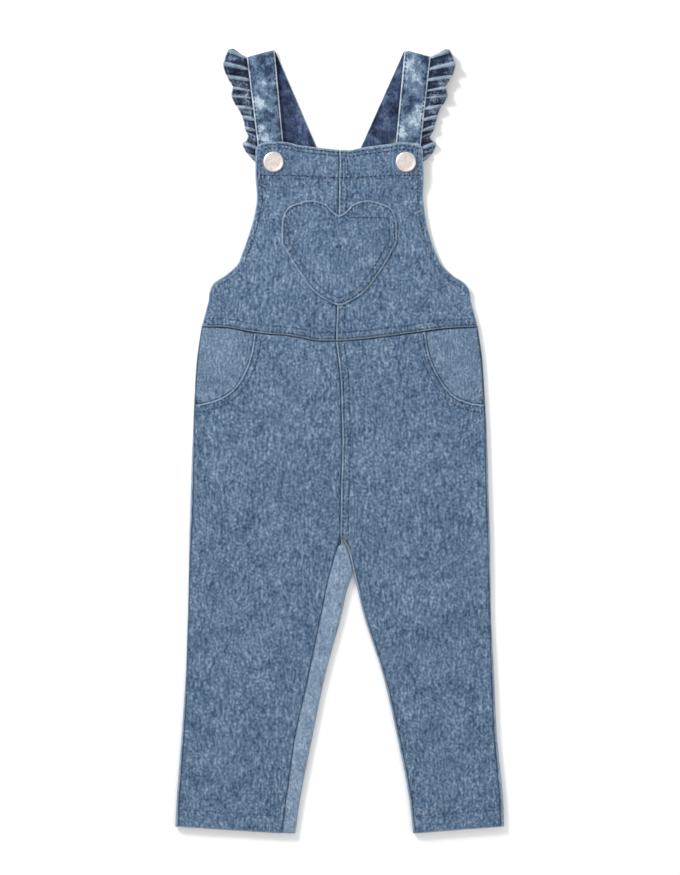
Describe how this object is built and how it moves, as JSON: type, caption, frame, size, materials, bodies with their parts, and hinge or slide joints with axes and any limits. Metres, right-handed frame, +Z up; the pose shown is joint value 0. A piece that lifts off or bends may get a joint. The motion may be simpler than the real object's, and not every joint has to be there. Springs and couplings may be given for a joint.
{
  "type": "kids dungarees",
  "caption": "Child's denim dungarees lying flat: bib with a heart patch pocket, scooped hip pockets, long legs, snapped shoulder straps with gathered frills.",
  "frame": {"origin": "under the middle of the garment's box, on the surface it lies on", "axes": "+X to the right of the garment seen from above, +Y from the leg hems towards the straps, +Z up from the surface, out of the front"},
  "size_m": [0.2796, 0.6671, 0.0094],
  "materials": {
    "denim": "washed mid-blue stretch denim, front face, worn lighter on the folded edges",
    "denim_back": "the same denim, a little lighter where the back panel shows inside the leg",
    "strap_denim": "mottled washed denim, double ply, light worn edges",
    "indigo_lining": "dark mottled indigo denim",
    "frill_denim": "dark indigo inside with a lighter stitched hem",
    "snap_metal": "pale satin metal with a polished rim"
  },
  "bodies": {
    "root": {"front_bib_left": "denim", "front_bib_right": "denim", "front_leg_left": "denim", "front_leg_right": "denim", "heart_pocket": "denim", "hip_facing_left": "denim", "hip_facing_right": "denim", "back_leg_left": "denim_back", "back_leg_right": "denim_back", "back_bib": "denim_back", "strap_left": "strap_denim", "strap_right": "strap_denim", "strap_lining_left": "indigo_lining", "strap_lining_right": "indigo_lining", "frill_left": "frill_denim", "frill_right": "frill_denim", "snap_cap_left": "snap_metal", "snap_cap_right": "snap_metal", "snap_socket_left": "snap_metal", "snap_socket_right": "snap_metal"}
  },
  "joints": []
}
